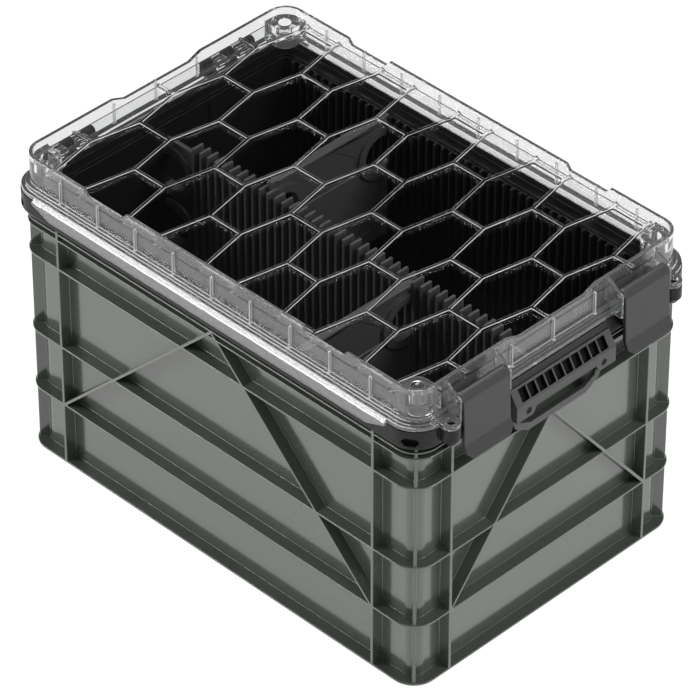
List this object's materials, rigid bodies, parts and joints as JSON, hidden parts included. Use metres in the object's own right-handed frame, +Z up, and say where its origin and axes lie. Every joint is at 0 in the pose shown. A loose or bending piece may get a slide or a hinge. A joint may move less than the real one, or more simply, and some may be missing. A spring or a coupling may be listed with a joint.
{
  "type": "storage crate",
  "caption": "Ribbed stacking crate holding a lift-out organiser case with a clear hinged lid, draw latches, a carry handle and comb-slotted dividers.",
  "frame": {"origin": "centre of the crate's underside, on the floor", "axes": "+X along the length to the latch and handle end, +Y to the right for someone facing that end, +Z up"},
  "size_m": [0.4732, 0.312, 0.2885],
  "materials": {
    "crate_plastic": "moulded grey-green, semi-gloss",
    "case_plastic": "fine-textured black",
    "handle_plastic": "fine-textured black",
    "divider_plastic": "satin black",
    "latch_plastic": "satin dark grey",
    "lid_clear": "clear moulded, polished",
    "seal_rubber": "matt black",
    "pin_steel": "drawn steel",
    "screw_steel": "black oxide"
  },
  "bodies": {
    "crate": {"crate_shell": "crate_plastic"},
    "case": {"case_tub": "case_plastic", "lid_gasket": "seal_rubber", "carry_handle": "handle_plastic", "handle_screws": "screw_steel", "hinge_pin_left": "pin_steel", "hinge_pin_right": "pin_steel", "long_divider": "divider_plastic", "divider_clip_rear": "divider_plastic", "divider_clip_front": "divider_plastic"},
    "lid": {"lid_shell": "lid_clear", "latch_pin_left": "pin_steel", "latch_pin_right": "pin_steel"},
    "latch_left_body": {"latch_left": "latch_plastic"},
    "latch_right_body": {"latch_right": "latch_plastic"},
    "divider_rear_body": {"cross_divider_rear": "divider_plastic"},
    "divider_front_body": {"cross_divider_front": "divider_plastic"}
  },
  "joints": [
    {"name": "case_lift", "type": "slide", "parent": "crate", "child": "case", "axis": [0, 0, 1], "range_m": [0, 0.12]},
    {"name": "lid_swing", "type": "hinge", "parent": "case", "child": "lid", "pos_m": [-0.229, 0, 0.258], "axis": [0, -1, 0], "range_deg": [0, 105]},
    {"name": "latch_left_swing", "type": "hinge", "parent": "lid", "child": "latch_left_body", "pos_m": [0.2274, -0.088, 0.2735], "axis": [0, -1, 0], "range_deg": [0, 90]},
    {"name": "latch_right_swing", "type": "hinge", "parent": "lid", "child": "latch_right_body", "pos_m": [0.2274, 0.088, 0.2735], "axis": [0, -1, 0], "range_deg": [0, 90]},
    {"name": "divider_rear_lift", "type": "slide", "parent": "case", "child": "divider_rear_body", "axis": [0, 0, 1], "range_m": [0, 0.026]},
    {"name": "divider_front_lift", "type": "slide", "parent": "case", "child": "divider_front_body", "axis": [0, 0, 1], "range_m": [0, 0.033]}
  ]
}
